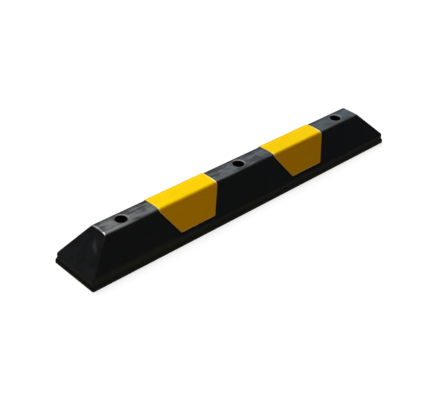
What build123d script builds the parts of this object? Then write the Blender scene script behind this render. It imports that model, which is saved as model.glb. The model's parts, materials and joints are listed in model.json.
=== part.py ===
from build123d import *
import os

# A rubber wheel stop: a moulded bar that is bolted to the ground to stop a tyre.
# +X runs along its length, +Z is up, and the origin is at the middle of its underside.
# All sizes are in millimetres.

# Overall size. The top is measured to its sharp edges, before they are rounded.
LENGTH = 1050.0
WIDTH = 150.0
HEIGHT = 100.0
TOP_LENGTH = 897.0
TOP_WIDTH = 53.0
CROWN = 1.6

# Foot: a thin flange, a flare above it, and an upright band up to the slopes
FLANGE_HEIGHT = 7.5
FLANGE_STEP = 3.5
FLARE_HEIGHT = 7.5
BAND_TOP = 27.0

# Rounded edges: the folds between the top and the long sides, the edges around both ends, and the foot
FOLD_ROUND = 9.0
END_ROUND = 5.0
BAND_ROUND = 8.0
FLARE_ROUND = 8.0
FLANGE_ROUND = 7.0

# Fixing holes, for M12 bolts whose heads sink into the counterbores. Each has a dished rim on top.
HOLE_SPACING = 383.0
BOLT_HOLE = 14.5
COUNTERBORE = 29.0
RIM = 38.0
RIM_DEPTH = 2.0
SHOULDER = 48.0
WASHER = 40.0
WASHER_THICKNESS = 4.0

# Yellow panels. Their outline is given as it is seen from the side.
PANEL_CENTRE = 197.0
PANEL_TOP_LENGTH = 189.0
PANEL_FOOT_LENGTH = 110.0
PANEL_FOOT = 34.5
PANEL_FOOT_CORNER = 4.0
PANEL_FOLD_CORNER = 14.0
PANEL_PROUD = 2.0
PANEL_DEPTH = 3.0
PANEL_EDGE = 1.8

# Pockets in the underside, in two rows, with solid rubber left around each fixing hole
POCKETS_PER_BAY = 4
POCKET_WIDTH = 46.0
POCKET_DEPTH = 30.0
POCKET_DRAFT = 6.0
POCKET_RIB = 14.0
HOLE_PAD = 30.0

# Sizes that follow from those above
FLARE_TOP = FLANGE_HEIGHT + FLARE_HEIGHT
EDGE_HEIGHT = HEIGHT - CROWN
CROWN_RADIUS = (TOP_WIDTH ** 2 / 4 + CROWN ** 2) / (2 * CROWN)
BAY = HOLE_SPACING - 2 * HOLE_PAD
POCKET_LENGTH = (BAY - (POCKETS_PER_BAY - 1) * POCKET_RIB) / POCKETS_PER_BAY
HOLES = {"left": -HOLE_SPACING, "middle": 0.0, "right": HOLE_SPACING}
PANELS = {"left": -PANEL_CENTRE, "right": PANEL_CENTRE}


def along_length(section):
    """Runs a section of the YZ plane along the whole length."""
    return extrude(Plane.YZ * section, amount=LENGTH / 2, both=True)


def across_width(outline):
    """Runs an outline of the XZ plane across the whole width."""
    return extrude(Plane.XZ * outline, amount=WIDTH / 2, both=True)


def upright(x, bottom, diameter, height):
    """A cylinder on the centre line, standing on the given level."""
    return Pos(x, 0, bottom) * Cylinder(diameter / 2, height, align=(Align.CENTER, Align.CENTER, Align.MIN))


def bar_outline(size, top_size):
    """The bar as it is seen along or across its length, with its slopes carried on past the crown."""
    half = size / 2
    band = half - FLANGE_STEP
    rise = 2 * CROWN
    lean = (band - top_size / 2) / (EDGE_HEIGHT - BAND_TOP)
    peak = (top_size / 2 - rise * lean, EDGE_HEIGHT + rise)
    corners = [(half, 0), (half, FLANGE_HEIGHT), (band, FLARE_TOP), (band, BAND_TOP), peak]
    right = FilletPolyline(*corners, radius=[FLANGE_ROUND, FLARE_ROUND, BAND_ROUND])
    left = mirror(right, Plane.YZ)
    return make_face([right, left, Line(right @ 0, left @ 0), Line(right @ 1, left @ 1)])


def bar_section():
    """The section across the bar, crowned on top, with its folds rounded."""
    section = bar_outline(WIDTH, TOP_WIDTH) & Pos(0, HEIGHT - CROWN_RADIUS) * Circle(CROWN_RADIUS)
    return fillet(section.vertices().group_by(Axis.Y)[-1], FOLD_ROUND)


def skew_edges(form):
    """The edges that run neither along nor across the bar."""
    edges = form.edges()
    return edges - edges.filter_by(Axis.X) - edges.filter_by(Axis.Y)


def moulded_form():
    """The outside of the bar, with no holes, recesses or pockets in it."""
    form = along_length(bar_section()) & across_width(bar_outline(LENGTH, TOP_LENGTH))
    return fillet(skew_edges(form), END_ROUND)


def panel_block(centre):
    """Everything inside a panel's outline, right across the bar."""
    foot = PANEL_FOOT_LENGTH / 2
    top = PANEL_TOP_LENGTH / 2
    right = [(foot, PANEL_FOOT), (top, EDGE_HEIGHT - FOLD_ROUND / 2), (top, 2 * HEIGHT)]
    left = [(-x, z) for x, z in reversed(right)]
    outline = make_face(Polyline(*right, *left, close=True))
    outline = fillet(outline.vertices().group_by(Axis.Y)[0], PANEL_FOOT_CORNER)
    folds = outline.vertices().filter_by_position(Axis.Y, EDGE_HEIGHT - FOLD_ROUND, EDGE_HEIGHT)
    outline = fillet(folds, PANEL_FOLD_CORNER)
    return across_width(Pos(centre, 0) * outline)


def yellow_panel(centre):
    """A saddle over the top and both long sides, with its proud edges rounded."""
    block = panel_block(centre) & along_length(offset(bar_section(), PANEL_PROUD))
    foot_edges = block.edges().filter_by(Axis.X).group_by(Axis.Z)[0]
    block = fillet(skew_edges(block) + foot_edges, PANEL_EDGE)
    return block - along_length(offset(bar_section(), -PANEL_DEPTH))


def fixing_washer(x):
    """A steel washer, moulded in at the foot of a counterbore."""
    ring = upright(x, SHOULDER - WASHER_THICKNESS, WASHER, WASHER_THICKNESS)
    return ring - upright(x, 0, BOLT_HOLE, HEIGHT)


def fixing_hole(x):
    """The space of a bolt, its head and its washer, with a dish at the mouth that widens on past the top."""
    hole = upright(x, 0, BOLT_HOLE, HEIGHT)
    hole += upright(x, SHOULDER - WASHER_THICKNESS, WASHER, WASHER_THICKNESS)
    hole += upright(x, SHOULDER, COUNTERBORE, HEIGHT)
    dish = Cone(COUNTERBORE / 2, RIM - COUNTERBORE / 2, 2 * RIM_DEPTH)
    return hole + Pos(x, 0, HEIGHT) * dish


def underside_pockets():
    """Drafted pockets that save rubber: a bay of them between holes, and one more past each end hole."""
    pocket = extrude(Rectangle(POCKET_LENGTH, POCKET_WIDTH), POCKET_DEPTH, taper=POCKET_DRAFT)
    first = HOLE_PAD + POCKET_LENGTH / 2
    along = [first + i * (POCKET_LENGTH + POCKET_RIB) for i in range(POCKETS_PER_BAY)]
    along.append(HOLE_SPACING + first)
    across = (POCKET_WIDTH + POCKET_RIB) / 2
    return [Pos(side * x, row * across) * pocket for x in along for side in (-1, 1) for row in (-1, 1)]


def rubber_body():
    """The black bar, with its fixing holes, the recesses for the panels and the pockets underneath."""
    body = moulded_form()
    core = along_length(offset(bar_section(), -PANEL_DEPTH))
    body -= [panel_block(centre) - core for centre in PANELS.values()]
    body -= [fixing_hole(x) for x in HOLES.values()]
    return body - underside_pockets()


os.makedirs("parts", exist_ok=True)
export_step(rubber_body(), "parts/rubber_body.step")
for name, centre in PANELS.items():
    export_step(yellow_panel(centre), f"parts/yellow_panel_{name}.step")
for name, x in HOLES.items():
    export_step(fixing_washer(x), f"parts/fixing_washer_{name}.step")
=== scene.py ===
import json
from math import cos, pi, radians, sin

import bpy
from mathutils import Matrix, Vector


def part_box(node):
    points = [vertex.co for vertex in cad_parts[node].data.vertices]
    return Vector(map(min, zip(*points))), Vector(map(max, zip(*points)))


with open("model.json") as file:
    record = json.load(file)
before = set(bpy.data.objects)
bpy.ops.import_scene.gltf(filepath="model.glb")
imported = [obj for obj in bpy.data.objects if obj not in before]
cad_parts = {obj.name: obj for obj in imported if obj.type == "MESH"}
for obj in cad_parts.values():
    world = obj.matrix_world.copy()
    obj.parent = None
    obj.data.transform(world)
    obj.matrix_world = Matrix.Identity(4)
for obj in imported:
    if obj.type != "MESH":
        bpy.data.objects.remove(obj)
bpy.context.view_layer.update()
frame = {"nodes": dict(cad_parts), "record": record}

# The looks of a rubber wheel stop: materials for its CAD pieces, the camera, the lights and the floor.
# The bar lies along X with its front towards -Y, so left is towards -X.

NODES = frame["nodes"]
MOUNTS = {mount["name"]: mount for mount in frame["record"]["mounts"]}

# Sizes that the frame gives, in metres
HOLE_SPACING = MOUNTS["head_recess_right"]["pos_m"][0]
MOUTH = MOUNTS["head_recess_right"]["dims"]["r_mm"] / 1000
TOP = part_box("rubber_body")[1].z
PANEL_LOW, PANEL_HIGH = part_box("yellow_panel_right")
PANEL_CENTRE = (PANEL_LOW.x + PANEL_HIGH.x) / 2
PANEL_HALF = PANEL_HIGH.x - PANEL_CENTRE

# Half of a panel's length at its foot: the most within this reach of it, because the corners are round
FOOT_REACH = 0.004
PANEL_SPOTS = [spot.co for spot in NODES["yellow_panel_right"].data.vertices]
PANEL_FOOT_HALF = max(spot.x for spot in PANEL_SPOTS if spot.z < PANEL_LOW.z + FOOT_REACH) - PANEL_CENTRE

# The picture, in pixels, and the camera that took it, in metres and degrees
PICTURE_WIDTH = 436
FOCAL_PIXELS = 909.1
CAMERA_PLACE = (-1.4412, -1.3874, 1.3277)
CAMERA_AZIMUTH = -44.706
CAMERA_ELEVATION = 33.913
CAMERA_ROLL = -2.530

# Soft lights: where each comes from, its width in degrees, strength and colour, and whether gloss shows it
WHITE = (1, 1, 1)
COOL_BLUE = (0.15, 0.55, 1)
WARM_ORANGE = (1, 0.72, 0.5)
SUNS = {
    "key": ((0.05, 0.45, 0.89), 30, 0.78 * pi, WHITE, True),
    "back": ((0.25, 0.68, 0.69), 24, 0.38 * pi, WHITE, True),
    "cool": ((0.78, 0.59, 0.20), 20, 0.09 * pi, COOL_BLUE, True),
    "fill": ((-0.30, -0.85, 0.45), 60, 0.055 * pi, WARM_ORANGE, False)}
WORLD_COLOUR = (0.07, 0.075, 0.08)

# The floor is white to the eye, and keeps a pale shadow
FLOOR_SIZE = 60
FLOOR_COLOUR = (0.25, 0.25, 0.25)
FLOOR_GLOW = 0.80

# Noise, in lumps per metre along, across and up the bar, or outwards for the rings on a washer
BLACK_MOTTLE = (30, 30, 30)
BLACK_STREAKS = (12, 110, 110)
BLACK_GRAIN = (900, 900, 900)
SCUFF_PATCHES = (90, 60, 90)
YELLOW_MOTTLE = (24, 24, 24)
YELLOW_STREAKS = (8, 90, 90)
YELLOW_GRAIN = (800, 800, 800)
STEEL_RINGS = (2300, 1, 1)
STEEL_PATCHES = (160, 160, 160)

# How deep the bumps of each material are, in metres
BLACK_BUMPS = 0.0003
YELLOW_BUMPS = 0.0002
STEEL_BUMPS = 0.0001

# In the looks below, a pair of places is where a look starts to show and where it is full, in metres.

# Sides and ends of the black rubber, with painted shade on the ends and to the right, and a scuffed patch
# with a painted highlight that slants down the front half of each end
SIDE_BLACK = (0.0135, 0.0145, 0.0150)
END_BLACK = (0.0074, 0.0078, 0.0084)
FAR_SHADE_BLACK = (0.004, 0.0050, 0.010)
DUST = (0.026, 0.027, 0.028)
SCUFF_AND_HIGHLIGHT = (0.065, 0.066, 0.068)
SCUFF_SLOPE = 0.54
SCUFF_HEIGHT = 0.83 * TOP
SCUFF_REACH = (0.07 * TOP, 0.01 * TOP)
SCUFF_FROM_MIDDLE = (-0.02 * TOP, -0.15 * TOP)
SCUFF_FROM_FRONT = (-0.46 * TOP, -0.14 * TOP)

# Foot of the black rubber: a paler band that lies lower past the left hole and at the ends, the flange
# painted darker on the ends as shade, and a line of painted shade
SIDE_PALE_BAND = (0.047, 0.050, 0.037)
END_PALE_BAND = (0.041, 0.043, 0.033)
SIDE_FLANGE = (0.032, 0.034, 0.027)
END_FLANGE = (0.012, 0.012, 0.010)
CREASE_SHADE = (0.003, 0.003, 0.002)
DROP_PAST_HOLE = 0.05 * TOP
DROP_AT_ENDS = 0.035 * TOP
BAND_HEIGHT = (0.34 * TOP, 0.24 * TOP)
FLANGE_HEIGHT = (0.18 * TOP, 0.13 * TOP)
CREASE_HEIGHT = 0.095 * TOP
CREASE_REACH = (0.035 * TOP, 0.01 * TOP)

# Top of the black rubber: worn grey with a painted sheen, palest to the left and dimmer on the back fold,
# and a painted bluish reflection further right
TOP_BLACK = (0.012, 0.012, 0.012)
RUBBED_GREY_AND_SHEEN = (0.060, 0.060, 0.060)
REFLECTED_BLUE = (0.042, 0.058, 0.066)
TOP_HEIGHT = (0.90 * TOP, 0.945 * TOP)
RUBBED_AND_SHEEN_FROM_BACK = (0.26 * TOP, 0.08 * TOP)
BLUISH_ALONG = (-0.7 * HOLE_SPACING, 0.3 * HOLE_SPACING)

# Painted highlights on the front fold and end edges of the black rubber
FOLD_HIGHLIGHT = (0.13, 0.13, 0.13)
EDGE_HIGHLIGHT = (0.94, 0.94, 0.95)
FOLD_ACROSS = (-0.13 * TOP, -0.22 * TOP)
FOLD_ALONG = (-0.85 * HOLE_SPACING, -1.02 * HOLE_SPACING)
LEFT_EDGE = (-1.08 * HOLE_SPACING, -1.12 * HOLE_SPACING)
RIGHT_EDGE = (1.08 * HOLE_SPACING, 1.12 * HOLE_SPACING)
EDGE_FROM_FRONT = (-0.26 * TOP, -0.22 * TOP)
EDGE_FROM_MIDDLE = (-0.10 * TOP, -0.21 * TOP)

# Holes in the black rubber, painted dark inside as shade and with a painted highlight at the mouth, measured
# from their axis
HOLE_RIM_HIGHLIGHT = (0.28, 0.28, 0.28)
HOLE_SHADE = (0.004, 0.004, 0.004)
HOLE_INSIDE = (1.12 * MOUTH, 1.04 * MOUTH)
HOLE_OUTSIDE = (1.22 * MOUTH, 1.40 * MOUTH)
RIM_REACH = (1.40 * MOUTH, 1.25 * MOUTH)
RIM_HEIGHT = (0.965 * TOP, 0.985 * TOP)
RIM_BACK_RIGHT = (0.2 * MOUTH, 1.4 * MOUTH)

# Faces of the yellow rubber: a lit yellow on top and at the back and a shaded one at the front, painted as
# light and shade
SHADED_YELLOW = (0.90, 0.40, 0.001)
LIT_YELLOW = (0.93, 0.61, 0.001)
FRONT_HIGHLIGHT_YELLOW = (0.98, 0.66, 0.001)
MOTTLED_YELLOW = (0.80, 0.44, 0.001)
STREAKED_YELLOW = (1.0, 0.72, 0.012)
FAR_SHADE_YELLOW = (0.50, 0.22, 0.001)
GLOSS_TINT = (1, 0.75, 0, 1)
FRONT_HIGHLIGHT_ACROSS = (0.05 * TOP, -0.22 * TOP)

# Painted shade on the back fold and painted highlights on the edges of the yellow rubber, whose lines are
# measured from the edge
BACK_FOLD_SHADE_YELLOW = (0.45, 0.30, 0.01)
RIM_HIGHLIGHT_YELLOW = (0.95, 0.86, 0.17)
CORNER_GLINT_YELLOW = (1.0, 0.95, 0.22)
GLINT_YELLOW = (1.0, 0.92, 0.50)
PANEL_FOLD_HEIGHT = 0.94 * TOP
BACK_FOLD_FROM_MIDDLE = (0.20 * TOP, 0.26 * TOP)
BACK_FOLD_FROM_BACK = (0.34 * TOP, 0.29 * TOP)
PALE_LINE = (0.0035, 0.0015)
GLINT_LINE = (0.0060, 0.0030)
CORNER_ACROSS = (-0.17 * TOP, -0.25 * TOP)
GLINT_ACROSS = (0.06 * TOP, -0.24 * TOP)
MATTE_HEIGHT = (0.90 * TOP, 0.95 * TOP)

# Plated steel
GREY_STEEL = (0.44, 0.44, 0.42)
BRIGHT_STEEL = (0.62, 0.62, 0.60)
DULL_STEEL = (0.30, 0.29, 0.27)


class Nodes:
    """A node tree, with short ways to add to it. Each gives the output of what it adds."""

    def __init__(self, tree):
        self.tree = tree

    def add(self, kind, inputs, **settings):
        """A new node, with its settings, and each input set to a value or linked to an output."""
        made = self.tree.nodes.new(kind)
        for name, value in settings.items():
            setattr(made, name, value)
        for name, value in inputs.items():
            if isinstance(value, bpy.types.NodeSocket):
                self.tree.links.new(value, made.inputs[name])
            else:
                made.inputs[name].default_value = value
        return made

    def math(self, operation, *values):
        return self.add("ShaderNodeMath", dict(enumerate(values)), operation=operation).outputs[0]

    def product(self, first, *others):
        for other in others:
            first = self.math("MULTIPLY", first, other)
        return first

    def vector(self, *numbers):
        return self.add("ShaderNodeCombineXYZ", dict(enumerate(numbers))).outputs[0]

    def parts(self, vector):
        return self.add("ShaderNodeSeparateXYZ", {0: vector}).outputs

    def noise(self, place, lumps, detail):
        """Soft noise from 0 to 1, with its own number of lumps per metre along each axis."""
        scaled = self.add("ShaderNodeMapping", {"Vector": place, "Scale": lumps}).outputs[0]
        inputs = {"Vector": scaled, "Scale": 1, "Detail": detail}
        return self.add("ShaderNodeTexNoise", inputs).outputs["Fac"]

    def step(self, value, first, last, start=0.0, end=1.0):
        """A smooth step from start to end while the value runs, up or down, from first to last."""
        limits = {0: value, 1: first, 2: last, 3: start, 4: end}
        return self.add("ShaderNodeMapRange", limits, interpolation_type="SMOOTHSTEP").outputs[0]

    def near(self, value, level, reach, core, most=1.0):
        """The most within a core around a level, and 0 beyond the reach."""
        away = self.math("ABSOLUTE", self.math("SUBTRACT", value, level))
        return self.step(away, reach, core, 0, most)

    def mix(self, share, first, second):
        """The first colour, with a share of the second."""
        colours = [(*colour, 1) if isinstance(colour, tuple) else colour for colour in (first, second)]
        inputs = {0: share, 6: colours[0], 7: colours[1]}
        return self.add("ShaderNodeMix", inputs, data_type="RGBA").outputs[2]

    def bump(self, height, depth):
        return self.add("ShaderNodeBump", {"Height": height, "Distance": depth}).outputs[0]

    def looked_at(self):
        """1 for what is seen directly, in gloss or through glass, and 0 for light that is cast on things."""
        path = self.add("ShaderNodeLightPath", {}).outputs
        seen = self.math("MAXIMUM", path["Is Camera Ray"], path["Is Glossy Ray"])
        return self.math("MAXIMUM", seen, path["Is Transmission Ray"])


def place_camera():
    """The camera at its place, turned by its azimuth, elevation and roll."""
    azimuth = radians(CAMERA_AZIMUTH)
    elevation = radians(CAMERA_ELEVATION)
    roll = radians(CAMERA_ROLL)
    back = Vector((sin(azimuth) * cos(elevation), -cos(azimuth) * cos(elevation), sin(elevation)))
    right = Vector((0, 0, 1)).cross(back).normalized()
    up = back.cross(right)
    rolled_right = right * cos(roll) - up * sin(roll)
    rolled_up = up * cos(roll) + right * sin(roll)
    turn = Matrix((rolled_right, rolled_up, back)).transposed()
    data = bpy.data.cameras.new("camera")
    data.lens = data.sensor_width * FOCAL_PIXELS / PICTURE_WIDTH
    data.clip_end = 2 * FLOOR_SIZE
    camera = bpy.data.objects.new("camera", data)
    camera.matrix_world = Matrix.Translation(CAMERA_PLACE) @ turn.to_4x4()
    bpy.context.scene.collection.objects.link(camera)
    bpy.context.scene.camera = camera


def light_scene():
    """The suns, and a world that looks white and lights things dimly."""
    for name, (source, width, strength, colour, in_gloss) in SUNS.items():
        data = bpy.data.lights.new(name, "SUN")
        data.energy = strength
        data.angle = radians(width)
        data.color = colour
        sun = bpy.data.objects.new(name, data)
        sun.rotation_mode = "QUATERNION"
        sun.rotation_quaternion = Vector(source).to_track_quat("Z", "Y")
        sun.visible_glossy = in_gloss
        bpy.context.scene.collection.objects.link(sun)
    world = bpy.data.worlds.new("studio")
    world.use_nodes = True
    nodes = Nodes(world.node_tree)
    sky = nodes.mix(nodes.looked_at(), WORLD_COLOUR, WHITE)
    world.node_tree.links.new(sky, world.node_tree.nodes["Background"].inputs["Color"])
    bpy.context.scene.world = world


def lay_floor():
    """A floor that glows to the eye, over a plain grey that takes the shadow."""
    material = bpy.data.materials.new("floor")
    material.use_nodes = True
    material.node_tree.nodes.clear()
    nodes = Nodes(material.node_tree)
    glow = nodes.math("MULTIPLY", nodes.looked_at(), FLOOR_GLOW)
    emission = nodes.add("ShaderNodeEmission", {"Strength": glow})
    diffuse = nodes.add("ShaderNodeBsdfDiffuse", {"Color": (*FLOOR_COLOUR, 1)})
    both = nodes.add("ShaderNodeAddShader", {0: emission.outputs[0], 1: diffuse.outputs[0]})
    nodes.add("ShaderNodeOutputMaterial", {"Surface": both.outputs[0]})
    half = FLOOR_SIZE / 2
    corners = [(-half, -half, 0), (half, -half, 0), (half, half, 0), (-half, half, 0)]
    mesh = bpy.data.meshes.new("floor")
    mesh.from_pydata(corners, [], [(0, 1, 2, 3)])
    mesh.materials.append(material)
    floor = bpy.data.objects.new("floor", mesh)
    bpy.context.scene.collection.objects.link(floor)


class Surface(Nodes):
    """The nodes of a new material, with the place of a point on the surface and the way that it faces."""

    def __init__(self, name, **constants):
        self.material = bpy.data.materials.new(name)
        self.material.use_nodes = True
        super().__init__(self.material.node_tree)
        self.shader = self.tree.nodes["Principled BSDF"].inputs
        for socket, value in constants.items():
            self.shader[socket.replace("_", " ")].default_value = value
        where = self.add("ShaderNodeTexCoord", {}).outputs
        self.place = where["Object"]
        self.x, self.y, self.z = self.parts(self.place)
        self.facing_x, self.facing_y, self.facing_z = self.parts(where["Normal"])

    def rightward(self, start, end, last=HOLE_SPACING):
        """A smooth step from start at the left hole to end at the right one, or at another place."""
        return self.step(self.x, -HOLE_SPACING, last, start, end)

    def along_from_hole(self):
        """How far a point is along the bar from the nearest hole."""
        return self.math("WRAP", self.x, HOLE_SPACING / 2, -HOLE_SPACING / 2)

    def from_hole(self):
        """The distance of a point from the axis of the nearest hole."""
        flat = self.vector(self.along_from_hole(), self.y)
        return self.add("ShaderNodeVectorMath", {0: flat}, operation="LENGTH").outputs["Value"]

    def finished(self, **sources):
        """The material, with these outputs linked to its shader."""
        for socket, source in sources.items():
            self.tree.links.new(source, self.shader[socket.replace("_", " ")])
        return self.material


def black_rubber():
    """Matte moulded rubber: worn to a sheen on top, with painted highlights on its edges, painted shade, and
    a paler band at the foot.
    """
    rubber = Surface("black_rubber", Specular_IOR_Level=0.02, Coat_Roughness=0.45, Coat_IOR=1.5)
    mottle = rubber.noise(rubber.place, BLACK_MOTTLE, detail=5)
    streaks = rubber.noise(rubber.place, BLACK_STREAKS, detail=6)
    grain = rubber.noise(rubber.place, BLACK_GRAIN, detail=2)
    endward = rubber.math("ABSOLUTE", rubber.facing_x)
    ends = rubber.step(endward, 0.35, 0.60)
    upward = rubber.step(rubber.facing_z, 0.72, 0.93)
    top = rubber.product(upward, rubber.step(rubber.z, *TOP_HEIGHT))

    colour = sides_with_painted_shade(rubber, ends, mottle)
    colour = foot_with_painted_shade(rubber, colour, ends, mottle)
    colour, sheen = rubbed_top_with_painted_sheen(rubber, colour, top, rubber.math("ADD", streaks, mottle))
    colour = painted_edge_highlights(rubber, colour, top, endward, streaks)
    colour, sheen = hole_rim_highlights(rubber, colour, sheen)
    roughness = rubber.step(mottle, 0.3, 0.7, 0.55, 0.75)
    bumps = rubber.math("ADD", grain, rubber.product(mottle, 2))
    normal = rubber.bump(bumps, BLACK_BUMPS)
    return rubber.finished(Base_Color=colour, Roughness=roughness, Coat_Weight=sheen, Normal=normal)


def sides_with_painted_shade(rubber, ends, mottle):
    """Dusty black, with painted shade on the ends and to the right, and a pale scuffed patch with a painted
    highlight that slants down the front half of each end.
    """
    # Painted shade: the ends darker than the sides
    colour = rubber.mix(ends, SIDE_BLACK, END_BLACK)
    dusty = rubber.step(mottle, 0.35, 0.65, 0, 0.3)
    colour = rubber.mix(dusty, colour, DUST)
    # Painted shade: darker and bluer to the right
    colour = rubber.mix(rubber.rightward(0, 0.35), colour, FAR_SHADE_BLACK)
    # A pale scuffed patch, partly a painted highlight, slanting down the front half of each end
    slanting = rubber.math("SUBTRACT", rubber.z, rubber.product(rubber.y, SCUFF_SLOPE))
    patches = rubber.noise(rubber.place, SCUFF_PATCHES, detail=5)
    scuff_and_highlight = rubber.product(
        ends,
        rubber.near(slanting, SCUFF_HEIGHT, *SCUFF_REACH),
        rubber.step(rubber.y, *SCUFF_FROM_MIDDLE),
        rubber.step(rubber.y, *SCUFF_FROM_FRONT),
        rubber.step(patches, 0.35, 0.60, 0.2, 1),
        0.6)
    return rubber.mix(scuff_and_highlight, colour, SCUFF_AND_HIGHLIGHT)


def foot_with_painted_shade(rubber, colour, ends, mottle):
    """A paler band, lower at the ends and past the left hole, then a flange, painted dimmer on the ends as
    shade, below a line of painted shade.
    """
    past_hole = rubber.rightward(0, DROP_PAST_HOLE, last=0)
    lowered = rubber.math("MAXIMUM", past_hole, rubber.product(ends, DROP_AT_ENDS))
    level = rubber.math("ADD", rubber.z, lowered)
    band = rubber.product(
        rubber.step(level, *BAND_HEIGHT),
        rubber.step(mottle, 0.30, 0.60, 0.45, 0.80),
        rubber.rightward(1, 0.7, last=0))
    colour = rubber.mix(band, colour, rubber.mix(ends, SIDE_PALE_BAND, END_PALE_BAND))
    # The flange, painted darker on the ends as shade
    flange = rubber.step(level, *FLANGE_HEIGHT, 0, 0.9)
    colour = rubber.mix(flange, colour, rubber.mix(ends, SIDE_FLANGE, END_FLANGE))
    # Painted shade in a line along the foot, deepest on the ends
    deepest_shade = rubber.step(ends, 0, 1, 0.15, 0.9)
    crease_shade = rubber.near(rubber.z, CREASE_HEIGHT, *CREASE_REACH, deepest_shade)
    return rubber.mix(crease_shade, colour, CREASE_SHADE)


def rubbed_top_with_painted_sheen(rubber, colour, top, pattern):
    """Tyres rub the top grey; a painted sheen makes it palest at the left end, dimmer on its back fold and
    bluish to the right. Gives its sheen too.
    """
    # Painted shade: less grey and less sheen on the back fold
    rubbed_and_sheen = rubber.product(top, rubber.step(rubber.y, *RUBBED_AND_SHEEN_FROM_BACK, 0.15, 1))
    # Painted sheen: the grey strongest at the left end, weakest at the right
    least = rubber.rightward(0, 0.30)
    most = rubber.rightward(1.2, 0.65)
    wear_and_sheen = rubber.step(pattern, 0.80, 1.20, least, most)
    # Painted reflection: the grey turns bluish to the right
    tone = rubber.mix(rubber.step(rubber.x, *BLUISH_ALONG), RUBBED_GREY_AND_SHEEN, REFLECTED_BLUE)
    colour = rubber.mix(top, colour, TOP_BLACK)
    colour = rubber.mix(rubber.product(rubbed_and_sheen, wear_and_sheen, 0.6), colour, tone)
    sheen = rubber.product(rubbed_and_sheen, rubber.step(wear_and_sheen, 0, 1, 0.25, 0.75))
    return colour, sheen


def painted_edge_highlights(rubber, colour, top, endward, streaks):
    """Painted highlights along the front fold at the left end, and along the top edges of both ends."""
    # Painted highlight along the front fold at the left end
    fold = rubber.product(
        top,
        rubber.step(rubber.y, *FOLD_ACROSS),
        rubber.step(rubber.x, *FOLD_ALONG),
        rubber.step(streaks, 0.35, 0.60, 0.3, 0.8))
    colour = rubber.mix(fold, colour, FOLD_HIGHLIGHT)
    # Painted highlight along the top edges of both ends, weak at the right
    left = rubber.step(rubber.x, *LEFT_EDGE)
    right = rubber.step(rubber.x, *RIGHT_EDGE, 0, 0.15)
    edge = rubber.product(
        top,
        rubber.step(endward, 0.08, 0.25),
        rubber.step(rubber.y, *EDGE_FROM_FRONT),
        rubber.step(streaks, 0.30, 0.60, 0.6, 1),
        rubber.step(rubber.y, *EDGE_FROM_MIDDLE, 0.30, 1),
        rubber.math("ADD", left, right))
    return rubber.mix(edge, colour, EDGE_HIGHLIGHT)


def hole_rim_highlights(rubber, colour, sheen):
    """A dull dish around each hole, painted dark inside as shade, with a painted highlight round its mouth
    at the back and on the right.
    """
    distance = rubber.from_hole()
    # Painted shade inside the hole
    inside = rubber.step(distance, *HOLE_INSIDE)
    back_right = rubber.math("ADD", rubber.along_from_hole(), rubber.product(rubber.y, 0.6))
    # Painted highlight on the mouth's back and right
    rim_highlight = rubber.product(
        rubber.step(distance, *RIM_REACH),
        rubber.step(inside, 1, 0),
        rubber.step(rubber.z, *RIM_HEIGHT),
        rubber.step(back_right, *RIM_BACK_RIGHT, 0.25, 1))
    colour = rubber.mix(rim_highlight, colour, HOLE_RIM_HIGHLIGHT)
    colour = rubber.mix(inside, colour, HOLE_SHADE)
    return colour, rubber.product(sheen, rubber.step(distance, *HOLE_OUTSIDE))


def yellow_rubber():
    """Yellow rubber: painted lit on top and at the back and shaded at the front, with a pale glossy outline
    of painted highlight.
    """
    rubber = Surface("yellow_rubber", Specular_IOR_Level=0.01, Specular_Tint=GLOSS_TINT,
                     Coat_Roughness=0.25, Coat_IOR=1.5)
    mottle = rubber.noise(rubber.place, YELLOW_MOTTLE, detail=5)
    streaks = rubber.noise(rubber.place, YELLOW_STREAKS, detail=5)
    grain = rubber.noise(rubber.place, YELLOW_GRAIN, detail=2)
    # Painted light: the top and back take the lit yellow, the front the shaded one
    upward = rubber.step(rubber.facing_z, 0.75, 0.98)
    backward = rubber.step(rubber.facing_y, 0.2, 0.6, 0, 0.8)
    lit_share = rubber.math("MAXIMUM", upward, backward)

    # Painted highlight: the top paler towards its front
    pale = rubber.mix(rubber.step(rubber.y, *FRONT_HIGHLIGHT_ACROSS), LIT_YELLOW, FRONT_HIGHLIGHT_YELLOW)
    colour = rubber.mix(lit_share, SHADED_YELLOW, pale)
    colour = rubber.mix(rubber.step(mottle, 0.30, 0.75, 0, 0.14), colour, MOTTLED_YELLOW)
    colour = rubber.mix(rubber.step(streaks, 0.55, 0.75, 0, 0.10), colour, STREAKED_YELLOW)
    # Painted shade: the panel to the right darker, most on its shaded faces
    deepest_shade = rubber.step(lit_share, 0, 1, 0.32, 0.10)
    far_shade = rubber.step(rubber.x, -PANEL_CENTRE, PANEL_CENTRE, 0, deepest_shade)
    colour = rubber.mix(far_shade, colour, FAR_SHADE_YELLOW)
    colour, gloss = panel_edges(rubber, colour)
    roughness = rubber.step(mottle, 0.3, 0.7, 0.45, 0.62)
    normal = rubber.bump(rubber.math("ADD", grain, mottle), YELLOW_BUMPS)
    return rubber.finished(Base_Color=colour, Roughness=roughness, Coat_Weight=gloss, Normal=normal)


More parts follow.
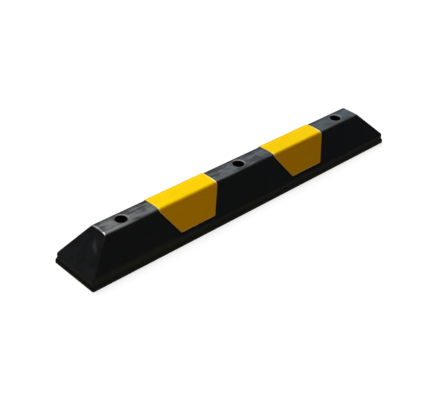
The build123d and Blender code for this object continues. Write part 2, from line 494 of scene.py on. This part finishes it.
def panel_edges(rubber, colour):
    """Painted shade on the back fold, and a pale outline of painted highlight, with painted glints at the
    front of the panel's top. Gives its gloss too.
    """
    centre = rubber.product(rubber.math("SIGN", rubber.x), PANEL_CENTRE)
    from_centre = rubber.math("SUBTRACT", rubber.x, centre)
    widening = {0: rubber.z, 1: PANEL_LOW.z, 2: PANEL_FOLD_HEIGHT, 3: PANEL_FOOT_HALF, 4: PANEL_HALF}
    half = rubber.add("ShaderNodeMapRange", widening).outputs[0]
    from_end = rubber.math("SUBTRACT", half, rubber.math("ABSOLUTE", from_centre))
    from_foot = rubber.math("SUBTRACT", rubber.z, PANEL_LOW.z)

    # Painted shade along the back fold of the top
    back_fold_shade = rubber.product(
        rubber.step(rubber.y, *BACK_FOLD_FROM_MIDDLE),
        rubber.step(rubber.y, *BACK_FOLD_FROM_BACK),
        0.5)
    colour = rubber.mix(back_fold_shade, colour, BACK_FOLD_SHADE_YELLOW)
    # A pale outline all round, painted as a highlight
    rim_highlight = rubber.step(rubber.math("MINIMUM", from_end, from_foot), *PALE_LINE)
    colour = rubber.mix(rubber.product(rim_highlight, 0.4), colour, RIM_HIGHLIGHT_YELLOW)

    # Painted glints: at the left front corner and along the right edge of the top
    top_rim = rubber.product(rubber.step(from_end, *GLINT_LINE), rubber.step(rubber.facing_z, 0.70, 0.90))
    left_corner_glint = rubber.product(
        top_rim,
        rubber.step(from_centre, 0, -PANEL_HALF),
        rubber.step(rubber.y, *CORNER_ACROSS, 0, 0.8))
    colour = rubber.mix(left_corner_glint, colour, CORNER_GLINT_YELLOW)
    right_edge = rubber.product(
        top_rim,
        rubber.step(from_centre, 0, PANEL_HALF),
        rubber.step(rubber.y, *GLINT_ACROSS, 0.05, 1))
    colour = rubber.mix(right_edge, colour, GLINT_YELLOW)

    leftward = rubber.step(from_centre, PANEL_HALF, -PANEL_HALF, 0.4, 1)
    matte = rubber.product(leftward, rubber.step(rubber.z, *MATTE_HEIGHT))
    gloss = rubber.product(rim_highlight, rubber.step(matte, 0, 1, 0.8, 0.2))
    return colour, gloss


def washer_steel():
    """Zinc plated steel, turned: fine rings around the middle, with dull patches."""
    steel = Surface("washer_steel", Metallic=1.0, Specular_IOR_Level=0.5)
    rings = steel.noise(steel.vector(steel.from_hole()), STEEL_RINGS, detail=3)
    patches = steel.noise(steel.place, STEEL_PATCHES, detail=4)
    colour = steel.mix(steel.step(rings, 0.35, 0.65), GREY_STEEL, BRIGHT_STEEL)
    colour = steel.mix(steel.step(patches, 0.50, 0.70, 0, 0.6), colour, DULL_STEEL)
    roughness = steel.step(steel.math("ADD", rings, patches), 0.7, 1.3, 0.30, 0.55)
    normal = steel.bump(rings, STEEL_BUMPS)
    return steel.finished(Base_Color=colour, Roughness=roughness, Normal=normal)


MATERIALS = {"body": black_rubber(), "panel": yellow_rubber(), "washer": washer_steel()}
for name, piece in NODES.items():
    piece.data.materials.clear()
    piece.data.materials.append(next(material for word, material in MATERIALS.items() if word in name))

place_camera()
light_scene()
lay_floor()
bpy.context.scene.view_settings.view_transform = "Standard"
